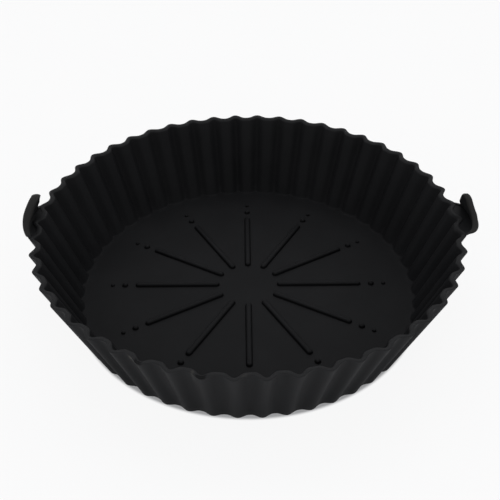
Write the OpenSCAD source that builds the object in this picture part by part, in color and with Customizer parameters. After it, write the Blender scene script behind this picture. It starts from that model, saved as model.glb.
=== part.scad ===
// Fluted silicone cake pan with a ribbed floor and two upturned thumb ears,
// moulded in one piece. The origin is at the centre of the resting face, +Z
// points up and +X points at the right-hand ear.

/* [Pan] */
// Diameter over the flute crests at the rim
rim_d = 205; // [190:1:230]
// Diameter over the flute crests at the resting face
base_d = 171; // [155:1:178]
// Height from the resting face to the top of the lip
pan_h = 42; // [32:1:60]
// Thickness of the fluted wall
wall_t = 1.9; // [1.4:0.1:2.4]
// Thickness of the floor between its ribs
floor_t = 1.4; // [1.2:0.1:2.4]

/* [Flutes] */
// Flutes round the wall, an even number, so that both ears stand on a crest
flute_count = 50; // [40:2:60]
// Depth of a scoop between two crests at the rim
rim_scoop = 2.8; // [1.6:0.1:3.6]
// Depth of a scoop between two crests at the resting face
base_scoop = 1.7; // [1:0.1:2.6]
// How much narrower the crests are than the scoops, 1 being an even wave
crest_sharpness = 1.3; // [1:0.1:2]

/* [Edges] */
// Rounding under the pan, between the resting face and the wall
heel_r = 1.2; // [0.6:0.1:2]
// Fillet inside the pan, between the floor and the wall
corner_r = 0.7; // [0.5:0.1:3]
// Rounding of the lip's outer edge
lip_out_r = 0.35; // [0.2:0.05:0.6]
// Rounding of the lip's inner edge
lip_in_r = 1.2; // [0.4:0.05:1.3]

/* [Floor ribs] */
// Radial ribs on the floor
rib_count = 12; // [8:1:16]
// Width of a rib at the floor
rib_w = 3; // [2:0.1:4]
// Height of a rib above the floor
rib_h = 1.5; // [0.8:0.1:1.7]
// Distance from the centre to a rib's inner end
rib_inner_r = 14.6; // [11:0.2:24]
// Distance from the centre to a rib's outer end
rib_outer_r = 57.1; // [40:0.5:58]

/* [Floor studs] */
// Distance from the centre to the large stud past each rib
big_stud_r = 62.4; // [61:0.2:64]
// Width of a large stud at the floor
big_stud_w = 2.9; // [2.4:0.1:3.4]
// Height of a large stud above the floor
big_stud_h = 1.5; // [0.8:0.1:1.7]
// Distance from the centre to the small stud past the large one
small_stud_r = 68.7; // [67:0.2:74]
// Width of a small stud at the floor
small_stud_w = 2; // [1.6:0.1:2.6]
// Height of a small stud above the floor
small_stud_h = 1.1; // [0.5:0.1:1.2]

/* [Ears] */
// How far the right-hand ear's bow stands out past the rim crests
ear_reach = 7.2; // [5:0.1:12]
// How much less the left-hand ear stands out, being pressed inwards
left_ear_press = 3.4; // [0:0.1:4]
// Width by which a bow's ends lap over the crests on both sides of the ear's own
ear_lap = 0.5; // [0.3:0.1:1.6]
// Length over which each end of a bow runs out flat on the wall
ear_wing = 1; // [0.5:0.1:3]
// Thickness of an ear's bow and tongue
ear_t = 2.1; // [1.6:0.1:3]
// Depth of the rounded underside of an ear, below the top of the lip
ear_bowl_h = 5.8; // [4.6:0.1:7]
// Depth of the pocket between an ear's bow and the wall, below the top of the lip
ear_pocket_h = 3; // [2:0.1:4]

/* [Tongues] */
// Length of a tongue from the bow to its tip
tongue_l = 15.6; // [11:0.2:19]
// Width of a tongue near its tip
tongue_w = 9; // [6:0.2:14]
// How far inside the ends of the bow a tongue's foot starts
tongue_inset = 1.2; // [0.5:0.1:3]
// Bluntness of a tongue's tip, 2 being round
tongue_blunt = 2.9; // [2:0.1:6]
// Lean of the right-hand tongue towards the pan at its foot, in degrees
right_foot_lean = 33; // [0:1:42]
// Lean of the right-hand tongue towards the pan at its tip, in degrees
right_tip_lean = 14; // [0:1:42]
// Lean of the left-hand tongue towards the pan at its foot, in degrees
left_foot_lean = 25; // [0:1:42]
// Lean of the left-hand tongue towards the pan at its tip, in degrees
left_tip_lean = 28; // [0:1:42]
// Twist of both tongues towards the front of the pan, in degrees
tongue_twist = 16; // [0:1:22]

/* [Hidden] */
silicone = [0.13, 0.13, 0.14];
rim_r = rim_d / 2;
base_r = base_d / 2;
pitch = 360 / flute_count;
points_per_flute = 8;
ring_points = flute_count * points_per_flute;
wall_flare = atan2(rim_r - base_r, pan_h);
// The wall's thickness measured level, through its slope
wall_in = wall_t / cos(wall_flare);
edge_steps = 1;
lip_steps = 2;
cap_sides = 10;
ear_columns = 12;
bowl_rows = 3;
tongue_rows = 8;
// Share of a tongue's length over which the web beside its foot runs out
web_share = 0.07;
// What the wall leaves for the rounding of the lip's inner edge
lip_in = min(lip_in_r, wall_in - lip_out_r - 0.1);
// An ear is rooted this far inside the crests, so that it grows out of the wall
root = 0.8;
// and its underside this far deeper, so that it also meets the scoops
scoop_root = 2.2;
// How far a cutting body runs past the face that it opens
past = 1;

// Radius of the crests and depth of the scoops at a height
function crest_r(z) = base_r + (rim_r - base_r) * z / pan_h;
function scoop(z) = base_scoop + (rim_scoop - base_scoop) * z / pan_h;

// Radius of the outer fluted face at an angle and a height
function flute_r(a, z) =
    crest_r(z) - scoop(z) * (1 - pow((1 + cos(flute_count * a)) / 2, crest_sharpness));

// One closed ring of points on the fluted face, moved inwards by inset
function ring(inset, z) = [
    for (i = [0:ring_points - 1])
        let (a = 360 * i / ring_points, r = flute_r(a, z) - inset)
            [r * cos(a), r * sin(a), z]
];

// Insets and heights along a quarter round, from angle a0 to a1 about its centre
function round_over(inset, z, r, a0, a1, steps) = [
    for (i = [0:steps])
        let (a = a0 + (a1 - a0) * i / steps)
            [inset + r * cos(a), z + r * sin(a)]
];

// A closed body skinned over the rings that a list of [inset, height] gives
module fluted_body(section) {
    n = ring_points;
    last = len(section) - 1;
    points = [for (s = section) each ring(s[0], s[1])];
    sides = [
        for (k = [0:last - 1], j = [0:n - 1])
            let (a = k * n + j, b = k * n + (j + 1) % n)
                each [[a, a + n, b + n], [a, b + n, b]]
    ];
    under = [for (j = [0:n - 1]) j];
    top = [for (j = [n - 1:-1:0]) last * n + j];
    polyhedron(points, concat([under], sides, [top]), convexity = 6);
}

// The outer form: rounded heel, sloping fluted wall and the lip's outer edge
module outer_form() {
    fluted_body(concat(
        round_over(heel_r, heel_r, heel_r, 270, 180, edge_steps),
        round_over(lip_out_r, pan_h - lip_out_r, lip_out_r, 180, 90, edge_steps)
    ));
}

// The space inside: floor, corner fillet, wall and the lip's inner edge
module inside_form() {
    fluted_body(concat(
        round_over(wall_in + corner_r, floor_t + corner_r, corner_r, 270, 180, edge_steps),
        round_over(wall_in - lip_in, pan_h - lip_in, lip_in, 0, 90, lip_steps),
        [[wall_in - lip_in, pan_h + past]]
    ));
}

// Radius of a ball whose cap has the given width and height at the floor
function cap_r(w, h) = (w * w / 4 + h * h) / (2 * h);

// A ball sunk in the floor at a distance from the centre, its cap showing
module cap(distance, w, h) {
    r = cap_r(w, h);
    translate([distance, 0, floor_t + h - r])
        sphere(r = r, $fn = cap_sides);
}

// A straight rib with a round back and round ends
module rib() {
    hull() {
        cap(rib_inner_r + rib_w / 2, rib_w, rib_h);
        cap(rib_outer_r - rib_w / 2, rib_w, rib_h);
    }
}

// Ribs and studs stand on the floor; nothing of them shows under the pan
module floor_pattern() {
    intersection() {
        for (i = [0:rib_count - 1])
            rotate(360 * i / rib_count) {
                rib();
                cap(big_stud_r, big_stud_w, big_stud_h);
                cap(small_stud_r, small_stud_w, small_stud_h);
            }
        translate([0, 0, floor_t / 2])
            cylinder(h = pan_h, r = base_r - wall_in, $fn = 24);
    }
}

// Half the width of an ear's bow, with and without the ends that run out flat, and
// half the width of a tongue's foot
bow_half_w = rim_r * sin(pitch) + ear_lap;
ear_half_w = bow_half_w - ear_wing;
foot_half_w = ear_half_w - tongue_inset;

// How far a bow stands out from its root at y, as a share of its middle
function bow(y, half_w) = pow(max(0, 1 - pow(y / half_w, 2)), 0.47);

// Thickness of an ear's sheet at y, thinner where the bow runs out on the wall
function sheet_t(y) = ear_t * min(1, max(0.4, (bow_half_w + 0.6 - abs(y)) / 3.5));

// Half the width of a tongue at a share of its length
function tongue_half_w(s) =
    let (tip = min(s, 0.985))
        tongue_w / 2 * pow(1 - pow(tip, tongue_blunt), 0.45)
        + (foot_half_w - tongue_w / 2) * pow(1 - s, 2)
        + (bow_half_w - foot_half_w) * pow(max(0, 1 - s / web_share), 2);

// Share of the length at a row: the foot, the top of the web, then closer to the tip
function tongue_share(i) =
    i == 0 ? 0 : 1 - (1 - web_share) * pow(1 - (i - 1) / (tongue_rows - 1), 1.6);

// A point under the lip, at a share of the way up the ear's round underside; layer
// is 0 on the outer face and 1 on the face of the pocket
function bowl_point(u, s, layer, reach) =
    let (
        swell = sqrt(1 - pow(1 - s, 2)),
        half = bow_half_w * (0.35 + 0.65 * s),
        y = u * half,
        z = pan_h - (layer == 0 ? ear_bowl_h : ear_pocket_h) * (1 - s),
        out = reach * bow(y, half * ear_half_w / bow_half_w) - layer * sheet_t(y)
    )
        [crest_r(z) - root - scoop_root * (1 - swell) + out * swell, y, z];

// A point of a tongue at a share of its length; its edges are worn round
function tongue_point(u, s, layer, reach, foot, tip) =
    let (
        lean = foot + (tip - foot) * s / 2,
        half = tongue_half_w(s),
        y = u * half,
        twist = y * tan(tongue_twist) * min(1, 2 * s),
        x = rim_r - root + reach * bow(y, ear_half_w) - tongue_l * s * sin(lean) - twist,
        near_edge = max(0, 1 - min(half - abs(y), tongue_l * (1 - s)) / 0.5),
        worn = 0.3 * (1 - sqrt(1 - pow(near_edge, 2)))
    )
        [
            x - sheet_t(y) * (layer + worn * (1 - 2 * layer)),
            y,
            pan_h + tongue_l * s * cos(lean)
        ];

// An ear on +X, skinned as one bent sheet from the underside up to the tongue's tip
module ear(reach, foot, tip) {
    n = ear_columns + 1;
    rows = bowl_rows + tongue_rows + 1;
    layer_points = n * rows;
    across = [for (j = [0:ear_columns]) sin(-90 + 180 * j / ear_columns)];
    points = [
        for (layer = [0, 1]) each concat(
            [for (i = [0:bowl_rows - 1], u = across)
                bowl_point(u, i / bowl_rows, layer, reach)],
            [for (i = [0:tongue_rows], u = across)
                tongue_point(u, tongue_share(i), layer, reach, foot, tip)]
        )
    ];
    faces = [
        for (i = [0:rows - 2], j = [0:ear_columns - 1])
            let (a = i * n + j, b = a + n, inner = layer_points)
                each [
                    [a, b, b + 1], [a, b + 1, a + 1],
                    [a + inner, b + 1 + inner, b + inner],
                    [a + inner, a + 1 + inner, b + 1 + inner]
                ]
    ];
    ends = [
        for (j = [0:ear_columns - 1], top = [0, 1])
            let (a = top * (rows - 1) * n + j, b = a + layer_points)
                each top == 0
                    ? [[a, a + 1, b + 1], [a, b + 1, b]]
                    : [[a, b + 1, a + 1], [a, b, b + 1]]
    ];
    sides = [
        for (i = [0:rows - 2], right = [0, 1])
            let (a = i * n + right * ear_columns, b = a + layer_points)
                each right == 0
                    ? [[a, b, b + n], [a, b + n, a + n]]
                    : [[a, b + n, b], [a, a + n, b + n]]
    ];
    polyhedron(points, concat(faces, ends, sides), convexity = 6);
}

module pan() {
    color(silicone) {
        difference() {
            union() {
                outer_form();
                ear(ear_reach + root, right_foot_lean, right_tip_lean);
                mirror([1, 0, 0])
                    ear(ear_reach - left_ear_press + root, left_foot_lean, left_tip_lean);
            }
            inside_form();
        }
        floor_pattern();
    }
}

pan();
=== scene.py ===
import math
from mathutils import Matrix, Vector
import bmesh
import bpy


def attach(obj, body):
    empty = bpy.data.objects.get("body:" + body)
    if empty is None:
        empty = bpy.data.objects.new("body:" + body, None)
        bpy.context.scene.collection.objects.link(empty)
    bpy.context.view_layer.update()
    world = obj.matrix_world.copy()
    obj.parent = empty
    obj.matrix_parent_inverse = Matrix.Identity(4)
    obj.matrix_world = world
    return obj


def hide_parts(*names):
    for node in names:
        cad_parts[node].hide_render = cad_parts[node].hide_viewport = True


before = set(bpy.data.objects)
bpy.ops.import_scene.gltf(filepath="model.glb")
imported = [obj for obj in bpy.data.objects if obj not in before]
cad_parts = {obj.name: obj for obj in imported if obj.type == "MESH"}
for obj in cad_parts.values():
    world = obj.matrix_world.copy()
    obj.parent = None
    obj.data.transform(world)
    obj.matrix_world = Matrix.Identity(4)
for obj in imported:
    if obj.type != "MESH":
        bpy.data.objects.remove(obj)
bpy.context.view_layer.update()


# Camera
# The photograph was taken from in front of the pan and 38 degrees above it, from about
# 0.4 m away. The camera is placed by its offsets to the right, up and back, in rim radii.
cam_data = bpy.data.cameras.new("camera")
camera = bpy.data.objects.new("camera", cam_data)
bpy.context.scene.collection.objects.link(camera)
cam_height_angle = math.radians(38.438)
cam_turn = math.radians(-0.605)
cam_roll = math.radians(-0.087)
cam_right = Vector((1, 0, 0))
cam_up = Vector((0, math.sin(cam_height_angle), math.cos(cam_height_angle)))
cam_back = Vector((0, -math.cos(cam_height_angle), math.sin(cam_height_angle)))
rim_radius = 0.1025
cam_place = rim_radius * (0.00811 * cam_right + 0.18169 * cam_up + 3.96069 * cam_back)
cam_axes = Matrix((cam_right, cam_up, cam_back)).transposed().to_4x4()
camera.matrix_world = (
    Matrix.Rotation(cam_turn, 4, "Z")
    @ Matrix.Translation(cam_place)
    @ cam_axes
    @ Matrix.Rotation(cam_roll, 4, "Z")
)
photo_pixels = 500
focal_pixels = 796.52
cam_data.sensor_width = 36.0
cam_data.lens = focal_pixels / photo_pixels * cam_data.sensor_width
cam_data.shift_x = 0.0004
cam_data.clip_start = 0.01
bpy.context.scene.camera = camera
bpy.context.scene.view_settings.view_transform = "Standard"


# Backdrop
# A plain white floor that turns up into a wall, in a white surround. The camera sees all
# of it as white, and the floor keeps a faint shadow, darkest right under the pan's edge.
class Sock:
    """A shader socket whose + - * and ** add Math nodes."""

    def __init__(self, tree, link):
        self.tree = tree
        self.link = link

    def node(self, kind, settings=(), out=0, **values):
        """Any other node: its settings first, then values or links by socket name or number."""
        made = self.tree.nodes.new(kind)
        for name, value in dict(settings).items():
            setattr(made, name, value)
        for name, value in values.items():
            key = int(name[1:]) if name[0] == "n" and name[1:].isdigit() else name.replace("_", " ")
            socket = made.inputs[key]
            if isinstance(value, Sock):
                self.tree.links.new(value.link, socket)
            else:
                socket.default_value = value
        return Sock(self.tree, made.outputs[out])

    def math(self, operation, *terms):
        """One Math node on values or sockets."""
        numbered = {"n%d" % i: term for i, term in enumerate(terms)}
        return self.node("ShaderNodeMath", {"operation": operation}, **numbered)

    def __add__(self, other):
        return self.math("ADD", self, other)

    __radd__ = __add__

    def __sub__(self, other):
        return self.math("SUBTRACT", self, other)

    def __rsub__(self, other):
        return self.math("SUBTRACT", other, self)

    def __mul__(self, other):
        return self.math("MULTIPLY", self, other)

    __rmul__ = __mul__

    def __pow__(self, other):
        return self.math("POWER", self, other)

    def clamp(self, low, high):
        """0 at low, 1 at high, smooth between."""
        return self.node(
            "ShaderNodeMapRange", {"interpolation_type": "SMOOTHSTEP"},
            Value=self, From_Min=low, From_Max=high, To_Min=0.0, To_Max=1.0,
        )


def new_finish(name):
    """An empty material, a start for its nodes and its output node."""
    material = bpy.data.materials.new(name)
    material.use_nodes = True
    tree = material.node_tree
    tree.nodes.clear()
    output = tree.nodes.new("ShaderNodeOutputMaterial")
    return material, Sock(tree, None), output


def sweep_white(name, near, far):
    """White to the camera. In a reflection it is near white by the pan and far white away."""
    material, start, output = new_finish(name)
    spot = start.node("ShaderNodeTexCoord", out=3)
    away = start.node("ShaderNodeVectorMath", {"operation": "LENGTH"}, out=1, n0=spot)
    round_pan = (0.085, 0.13)
    under_edge = (0.0848, 0.0868)
    mirrored = near + (far - near) * away.clamp(*round_pan)
    seen_white = 0.15 + 0.75 * away.clamp(*under_edge)
    kinds = ("Is Camera Ray", "Is Glossy Ray", "Is Transmission Ray")
    camera_ray, glossy_ray, clear_ray = [start.node("ShaderNodeLightPath", out=k) for k in kinds]
    soft = start.node("ShaderNodeBsdfDiffuse", Color=(0.79, 0.8, 0.83, 1))
    plain = start.node("ShaderNodeEmission", Color=(1, 1, 1, 1), Strength=1.0)
    share = seen_white * camera_ray + mirrored * start.math("MAXIMUM", glossy_ray, clear_ray)
    look = start.node("ShaderNodeMixShader", n0=share, n1=soft, n2=plain)
    start.tree.links.new(look.link, output.inputs["Surface"])
    return material


sweep_half = 2.0
wall_height = 3.0
bm = bmesh.new()
bmesh.ops.create_grid(bm, x_segments=2, y_segments=2, size=sweep_half)
far_edge = [e for e in bm.edges if all(v.co.y > 0.95 * sweep_half for v in e.verts)]
folded = bmesh.ops.extrude_edge_only(bm, edges=far_edge)["geom"]
top_edge = [g for g in folded if isinstance(g, bmesh.types.BMVert)]
bmesh.ops.translate(bm, verts=top_edge, vec=(0, 0, wall_height))
floor_mesh = bpy.data.meshes.new("sweep")
bm.to_mesh(floor_mesh)
bm.free()
floor = bpy.data.objects.new("sweep", floor_mesh)
bpy.context.scene.collection.objects.link(floor)
floor_mesh.materials.append(sweep_white("floor_white", 0.15, 0.6))
floor_mesh.materials.append(sweep_white("wall_white", 0.9, 0.9))
for face in floor_mesh.polygons:
    face.material_index = 1 if face.center.z > 0.1 else 0

world = bpy.data.worlds.new("surround")
bpy.context.scene.world = world
world.use_nodes = True
world.node_tree.nodes.clear()
sky = Sock(world.node_tree, None)
camera_ray = sky.node("ShaderNodeLightPath", out="Is Camera Ray")
aim = sky.node("ShaderNodeTexCoord", out=0)
rise = sky.node("ShaderNodeSeparateXYZ", out=2, Vector=aim)
level = 0.35 + 0.45 * (1 - rise.math("ABSOLUTE", rise)) ** 1.5
strength = level * (1 - camera_ray) + camera_ray
surround = sky.node("ShaderNodeBackground", Color=(1, 1, 1, 1), Strength=strength)
world_out = world.node_tree.nodes.new("ShaderNodeOutputWorld")
world.node_tree.links.new(surround.link, world_out.inputs["Surface"])


# Lights
# A wide soft box above and behind, a weaker one on each side and one behind the camera.
def soft_box(name, place, target, size, watts):
    """A rectangular lamp at place that faces target."""
    data = bpy.data.lights.new(name, "AREA")
    data.shape = "RECTANGLE"
    data.size = size[0]
    data.size_y = size[1]
    data.energy = watts
    lamp = bpy.data.objects.new(name, data)
    bpy.context.scene.collection.objects.link(lamp)
    lamp.location = place
    lamp.rotation_euler = (Vector(target) - Vector(place)).to_track_quat("-Z", "Y").to_euler()


soft_box("box_over", (0.0, 0.42, 0.92), (0, 0, 0.02), (1.1, 0.6), 2.9)
soft_box("box_front", (0.0, -0.62, 0.72), (0, 0, 0.03), (0.9, 0.4), 1.5)
soft_box("box_left", (-0.9, 0.1, 0.6), (0, 0, 0.02), (0.5, 0.5), 0.6)
soft_box("box_right", (0.9, 0.1, 0.6), (0, 0, 0.02), (0.5, 0.5), 0.7)


# Silicone
# Black food-grade silicone out of a sand-blasted mould: matt, with a fine grain and a
# faint oily unevenness. A value on the skin's points is 0 where the colour is left alone,
# up to 1 where it is paler: pale edges and painted light; up to 3 for painted glints; and
# below 0 for painted shade in corners, grooves and on steep sides.
bare_black = (0.0083, 0.0085, 0.0094, 1)
oily_black = (0.0103, 0.0105, 0.0115, 1)
painted_shade_black = (0.002, 0.002, 0.0022, 1)
pale_and_painted_light_grey = (0.0197, 0.02, 0.0212, 1)
painted_glint_grey = (0.16, 0.15, 0.13, 1)


def tone_between(share, first, second):
    """The first colour where share is 0 and the second where it is 1."""
    return share.node("ShaderNodeMix", {"data_type": "RGBA"}, out=2, n0=share, n6=first, n7=second)


silicone, start, output = new_finish("silicone_black")
at = start.node("ShaderNodeTexCoord", out=3)
grain = start.node("ShaderNodeTexNoise", Vector=at, Scale=1800.0, Detail=2.0)
cloud = start.node("ShaderNodeTexNoise", Vector=at, Scale=38.0, Detail=3.0, Roughness=0.55)
pale_and_painted_value = start.node("ShaderNodeAttribute", {"attribute_name": "pale_edges_and_painted_light"}, out=2)
tone = tone_between(cloud.clamp(0.35, 0.7), bare_black, oily_black)
# Painted shade where the value is below 0.
tone = tone_between((0 - pale_and_painted_value).clamp(0.0, 1.0) * 0.75, tone, painted_shade_black)
# Paler where the value is between 0 and 1: pale edges and painted light.
tone = tone_between(pale_and_painted_value.clamp(0.0, 1.0) * 0.8, tone, pale_and_painted_light_grey)
# Painted glints, and a touch on the ears' pale edges, where the value is above 1.
tone = tone_between(pale_and_painted_value.clamp(1.0, 3.0), tone, painted_glint_grey)
rough = 0.54 + 0.08 * cloud
bump = start.node("ShaderNodeBump", Strength=0.25, Distance=0.0001, Height=grain)
skin = start.node(
    "ShaderNodeBsdfPrincipled", Base_Color=tone, Roughness=rough, Normal=bump,
    Specular_IOR_Level=0.1, IOR=1.41,
)
silicone.node_tree.links.new(skin.link, output.inputs["Surface"])


# Pan body
# One moulding with 50 flutes round a wall that opens upwards. Half of its section is
# spun round the axis, then each scoop is pressed in between two crests.
mm = 0.001
rim_r = 102.5
base_r = 85.5
pan_h = 42.0
wall_t = 1.9
wall_in = wall_t / math.cos(math.atan2(rim_r - base_r, pan_h))
floor_t = 1.4
flutes = 50
steps_per_flute = 16
base_scoop = 1.7
rim_scoop = 2.8
outer_sharpness = 1.3
inner_sharpness = 2.4
flat_floor_r = 70
press_run = 12


def crest_r(z):
    """Radius of the cone on which the crests lie."""
    return base_r + (rim_r - base_r) * z / pan_h


def crest_share(a):
    """1 on a crest and 0 in the middle of a scoop."""
    return (1 + math.cos(flutes * a)) / 2


def press(r, z, a):
    """Radius at the angle a of what lay at r. The crests are narrower on the wall's inner face."""
    inside = min(1.0, max(0.0, (crest_r(z) - r) / wall_in)) if z > 1 else 0.0
    wave = 1 - crest_share(a) ** (outer_sharpness + (inner_sharpness - outer_sharpness) * inside)
    deep = base_scoop + (rim_scoop - base_scoop) * z / pan_h
    uneven = 1 + 0.09 * math.sin(8 * a + 0.6) + 0.07 * math.sin(18 * a - 2.5)
    near_wall = min(1.0, max(0.0, (r - flat_floor_r) / press_run))
    return r - deep * uneven * wave * near_wall ** 2


def rounding(centre_in, z, r, a0, a1, steps):
    """Points on a quarter round, as the inset from the crests' cone and the height."""
    turn = [math.radians(a0 + (a1 - a0) * i / steps) for i in range(steps + 1)]
    return [(centre_in + r * math.cos(t), z + r * math.sin(t)) for t in turn]


heel_r = 0.6
lip_out_r = 0.2
lip_in_r = 1.2
corner_r = 0.7
wall_steps = 8
flaw_rows = (38.0, 39.0, 40.0, 41.0)
low_in = floor_t + corner_r
section = [(r, 0.0) for r in (0.0, 20, 40, 60, 72, 78, 82)]
heel = rounding(heel_r, heel_r, heel_r, 270, 180, 4)
lip = rounding(lip_out_r, pan_h - lip_out_r, lip_out_r, 180, 90, 3) + rounding(
    wall_in - lip_in_r, pan_h - lip_in_r, lip_in_r, 90, 0, 6
)
corner = rounding(wall_in + corner_r, low_in, corner_r, 180, 270, 4)
up = [(0.0, heel_r + (pan_h - lip_out_r - heel_r) * i / wall_steps) for i in range(1, wall_steps)]
up += [(0.0, z) for z in flaw_rows]
down = [
    (wall_in, pan_h - lip_in_r - (pan_h - lip_in_r - low_in) * i / wall_steps)
    for i in range(1, wall_steps)
]
section += [(crest_r(z) - inset, z) for inset, z in heel + up + lip + down + corner]
section += [(r, floor_t) for r in (79, 76, 72, 60, 40, 20, 0.0)]

# Three nicks darkened by painted shade and three painted glints at the front of the lip: from
# and to in degrees round the axis, from and to in height, the tone value there, and how deep
# the nick is.
flaws = [
    (-118.8, -118.1, 36.0, 40.5, 1.8, 0.0),
    (-116.2, -115.6, 38.5, 42.1, -0.6, 0.3),
    (-115.3, -114.4, 40.5, 42.1, -0.6, 0.3),
    (-103.4, -102.4, 36.0, 42.1, 1.4, 0.0),
    (-101.7, -99.8, 40.5, 42.1, -0.8, 0.3),
    (-91.8, -90.8, 41.8, 42.1, 1.3, 0.0),
]

bm = bmesh.new()
pale_edges_and_painted_light = bm.verts.layers.float.new("pale_edges_and_painted_light")
verts = [bm.verts.new((r * mm, 0, z * mm)) for r, z in section]
edges = [bm.edges.new(pair) for pair in zip(verts, verts[1:])]
bmesh.ops.spin(
    bm, geom=verts + edges, cent=(0, 0, 0), axis=(0, 0, 1), angle=math.tau,
    steps=flutes * steps_per_flute, use_merge=True,
)
bmesh.ops.remove_doubles(bm, verts=bm.verts, dist=1e-6)

# The lip is paler, except beside the ears. Outside, painted light makes the crests and the
# top of the wall paler, and painted shade darkens the scoops and the foot of the wall;
# inside, painted shade darkens the grooves behind the crests and painted light makes the
# ridges between them a little paler.
beside_ear = 12.5
lip_band = 0.8
for v in bm.verts:
    r = math.hypot(v.co.x, v.co.y) / mm
    z = v.co.z / mm
    if r < 1:
        continue
    a = math.atan2(v.co.y, v.co.x)
    inset = crest_r(z) - r
    v.co.x *= press(r, z, a) / r
    v.co.y *= press(r, z, a) / r
    by_left_ear = abs(v.co.y) / mm < beside_ear and v.co.x < 0 and inset < 1.5
    by_right_ear = abs(v.co.y) / mm < beside_ear and v.co.x > 0 and inset > 0.9
    # The lip is paler, except beside the ears.
    if z > pan_h - lip_band:
        v[pale_edges_and_painted_light] = 0.0 if by_left_ear or by_right_ear else 0.9
    # Outer face: painted light on the crests and high up, painted shade in the scoops and low down.
    elif z > 0.5 and inset < 0.5:
        v[pale_edges_and_painted_light] = 0.5 * (z / pan_h) ** 1.5 - 0.37 + 0.74 * crest_share(a) ** outer_sharpness
    # Inner face: painted shade in the grooves behind the crests, painted light on the ridges.
    elif z > low_in and inset > 1.5:
        v[pale_edges_and_painted_light] = 0.25 - 0.6 * crest_share(a) ** 2
    # Each nick is pressed in and darkened with painted shade; the glints are painted highlights.
    for turn_from, turn_to, low, high, painted_shade_and_glint, deep in flaws:
        if turn_from < math.degrees(a) < turn_to and low < z < high and inset < 1.2:
            v[pale_edges_and_painted_light] = painted_shade_and_glint
            v.co.z -= deep * mm
bmesh.ops.recalc_face_normals(bm, faces=bm.faces)


# Floor ribs and studs
# Twelve straight ribs with round backs, and past each one a large and a small stud, so
# that air gets under the food. Each starts as a low dome; a rib's is pulled long.
foot_out = 0.15
foot_sunk = 0.5


def dome(width, height):
    """A low dome with steep sides darkened by painted shade, standing on z = 0, with its foot sunk
    in the floor.
    """
    half = width / 2
    turn = [math.radians(t) for t in (75, 60, 45, 30, 15, 4)]
    line = [(half * math.cos(t) ** 0.8, height * math.sin(t) ** 0.9) for t in turn]
    line = [(0.0, height)] + line + [(half + foot_out, 0.0), (half + foot_out, -foot_sunk)]
    shape = bmesh.new()
    pale_edges_and_painted_light = shape.verts.layers.float.new("pale_edges_and_painted_light")
    points = [shape.verts.new((r * mm, 0, z * mm)) for r, z in line]
    for point, (r, z) in zip(points, line):
        # Painted shade on the steep sides.
        point[pale_edges_and_painted_light] = -1.0 if r > 0.8 * half else 0.0
    joins = [shape.edges.new(pair) for pair in zip(points, points[1:])]
    bmesh.ops.spin(
        shape, geom=points + joins, cent=(0, 0, 0), axis=(0, 0, 1), angle=math.tau,
        steps=24, use_merge=True,
    )
    bmesh.ops.remove_doubles(shape, verts=shape.verts, dist=1e-6)
    return shape


def join_into(whole, shape):
    """Adds one bmesh to another and frees it."""
    carrier = bpy.data.meshes.new("carrier")
    shape.to_mesh(carrier)
    shape.free()
    whole.from_mesh(carrier)
    bpy.data.meshes.remove(carrier)


# Each is given by the radii of its first and last centre, its width and its height.
rib = (16.1, 55.6, 3.0, 1.6)
large_stud = (62.4, 62.4, 2.9, 1.6)
small_stud = (68.7, 68.7, 2.0, 1.1)
rays = 12
pattern = bmesh.new()
pattern.verts.layers.float.new("pale_edges_and_painted_light")
for near, far, width, height in (rib, large_stud, small_stud):
    for i in range(rays):
        shape = dome(width, height)
        pulled = [v for v in shape.verts if v.co.x > 1e-7]
        bmesh.ops.translate(shape, verts=pulled, vec=((far - near) * mm, 0, 0))
        bmesh.ops.translate(shape, verts=shape.verts, vec=(near * mm, 0, floor_t * mm))
        turn = Matrix.Rotation(math.tau * i / rays, 4, "Z")
        bmesh.ops.transform(shape, matrix=turn, verts=shape.verts)
        bmesh.ops.recalc_face_normals(shape, faces=shape.faces)
        join_into(pattern, shape)
join_into(bm, pattern)


# Ears
# Two thumb ears moulded on the rim. Each is a bow that stands out from the flutes, rises
# into a tongue that leans in, and is closed underneath by a shallow bowl. The left one is
# pressed inwards and the right one is twisted. Lengths are in mm, leans and twist in degrees.
bow_half_w = 13.35
ear_half_w = 12.35
foot_half_w = 11.5
bowl_h = 5.0
pocket_h = 0.5
edge_r = 1.5
bowl_share = 0.3
root_in = 0.8
bowl_in = 2.2
behind_wall = 1.2
run_out = 3.5
least_thick = 0.4
tip_crowding = 1.6
tongue_curl = 1.4
# Each ear's last value is the painted light on the inner face of its tongue.
right_ear = {
    "side": 1, "reach": 7.93, "square": 0.38, "length": 15.0, "half_tip": 4.6, "blunt": 2.8,
    "foot_lean": 42.4, "tip_lean": 1.8, "twist": 16.6, "bow_t": 2.76, "tip_t": 2.9,
    "worn": 0.25, "inner_painted_light": 0.6,
}
left_ear = {
    "side": -1, "reach": 4.05, "square": 0.5, "length": 16.0, "half_tip": 5.1, "blunt": 3.4,
    "foot_lean": 11, "tip_lean": 27, "twist": 7, "bow_t": 2.6, "tip_t": 4.3,
    "worn": 0.4, "inner_painted_light": 1.0,
}


def wall_x(y, z):
    """How far out the fluted wall's outer face stands at y, near an ear."""
    a = math.asin(y / crest_r(z))
    return press(crest_r(z), z, a) * math.cos(a)


def thin_out(y):
    """Share of its thickness that an ear has at y, less where it runs out on the wall."""
    return min(1.0, max(least_thick, (bow_half_w + 0.6 - abs(y)) / run_out))


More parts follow.
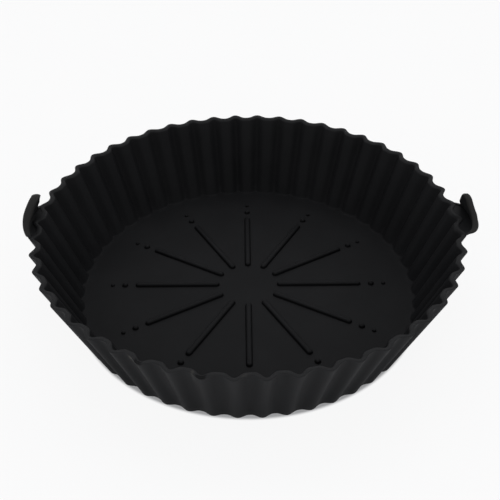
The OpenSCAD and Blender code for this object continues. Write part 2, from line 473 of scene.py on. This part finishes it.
def ear_place(across, share, layer, form):
    """A point of an ear on +X, and how near an edge it is: layer is 0 outside and 1 inside."""
    if share < bowl_share:
        s = share / bowl_share
        swell = math.sqrt(max(0.0, 1 - (1 - s) ** 2))
        z = pan_h - (pocket_h if layer else bowl_h) * (1 - s)
        half = bow_half_w * (0.8 + 0.2 * s if layer else 0.6 + 0.4 * s)
        y = across * half
        bow = max(0.0, 1 - (y * bow_half_w / (half * ear_half_w)) ** 2) ** form["square"]
        out = form["reach"] * bow - layer * form["bow_t"] * thin_out(y)
        x = crest_r(z) - root_in - bowl_in * (1 - swell) + out * swell
        return max(x, wall_x(y, z) - behind_wall), y, z, 0.0
    s = 1 - (1 - (share - bowl_share) / (1 - bowl_share)) ** tip_crowding
    lean = math.radians(form["foot_lean"] + (form["tip_lean"] - form["foot_lean"]) * s / 2)
    z = pan_h + form["length"] * s * math.cos(lean)
    half = form["half_tip"] * max(0.0, 1 - s ** form["blunt"]) ** 0.45
    half += (foot_half_w - form["half_tip"]) * (1 - s) ** 2
    half += (bow_half_w - foot_half_w) * max(0.0, 1 - s / 0.07) ** 2
    y = across * half
    bow = max(0.0, 1 - (y / ear_half_w) ** 2) ** form["square"]
    x = rim_r - root_in + form["reach"] * bow - form["length"] * s * math.sin(lean)
    x += tongue_curl * s * (y / 6) ** 2
    x -= y * math.tan(math.radians(form["twist"])) * min(1.0, 2 * s)
    side_q = max(0.0, 1 - (half - abs(y)) / edge_r)
    tip_q = max(0.0, 1 - form["length"] * (1 - s) / edge_r)
    q = min(1.0, math.hypot(side_q, tip_q))
    worn = form["worn"] * (1 - math.sqrt(1 - q * q))
    thick = form["bow_t"] + (form["tip_t"] - form["bow_t"]) * min(1.0, 2 * s)
    x -= thick * thin_out(y) * (layer + worn * (1 - 2 * layer))
    return x, y, z, q


def ear(form):
    """A sheet for the outer face is copied for the inner one, and both are shaped."""
    shape = bmesh.new()
    pale_edges_and_painted_light = shape.verts.layers.float.new("pale_edges_and_painted_light")
    bmesh.ops.create_grid(shape, x_segments=40, y_segments=50, size=1.0)
    first = list(shape.verts)
    copied = bmesh.ops.extrude_face_region(shape, geom=shape.faces[:], use_keep_orig=True)["geom"]
    second = [g for g in copied if isinstance(g, bmesh.types.BMVert)]
    for layer, verts in ((0, first), (1, second)):
        for v in verts:
            across = math.sin(v.co.x * math.pi / 2)
            x, y, z, q = ear_place(across, (v.co.y + 1) / 2, layer, form)
            v.co = (form["side"] * x * mm, y * mm, z * mm)
            risen = min(1.0, max(0.0, (z - pan_h) / 4))
            # The ears' edges are paler, and painted light makes the tongue's inner face paler as it
            # rises.
            v[pale_edges_and_painted_light] = 1.3 if q > 0 else form["inner_painted_light"] * layer * risen
    bmesh.ops.remove_doubles(shape, verts=shape.verts, dist=2e-5)
    bmesh.ops.recalc_face_normals(shape, faces=shape.faces)
    return shape


join_into(bm, ear(right_ear))
join_into(bm, ear(left_ear))

for face in bm.faces:
    face.smooth = True
pan_mesh = bpy.data.meshes.new("pan_body")
bm.to_mesh(pan_mesh)
bm.free()
pan_body = bpy.data.objects.new("pan_body", pan_mesh)
bpy.context.scene.collection.objects.link(pan_body)
pan_mesh.materials.append(silicone)
pan_mesh.set_sharp_from_angle(angle=math.radians(50))
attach(pan_body, "root")
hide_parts("pan")
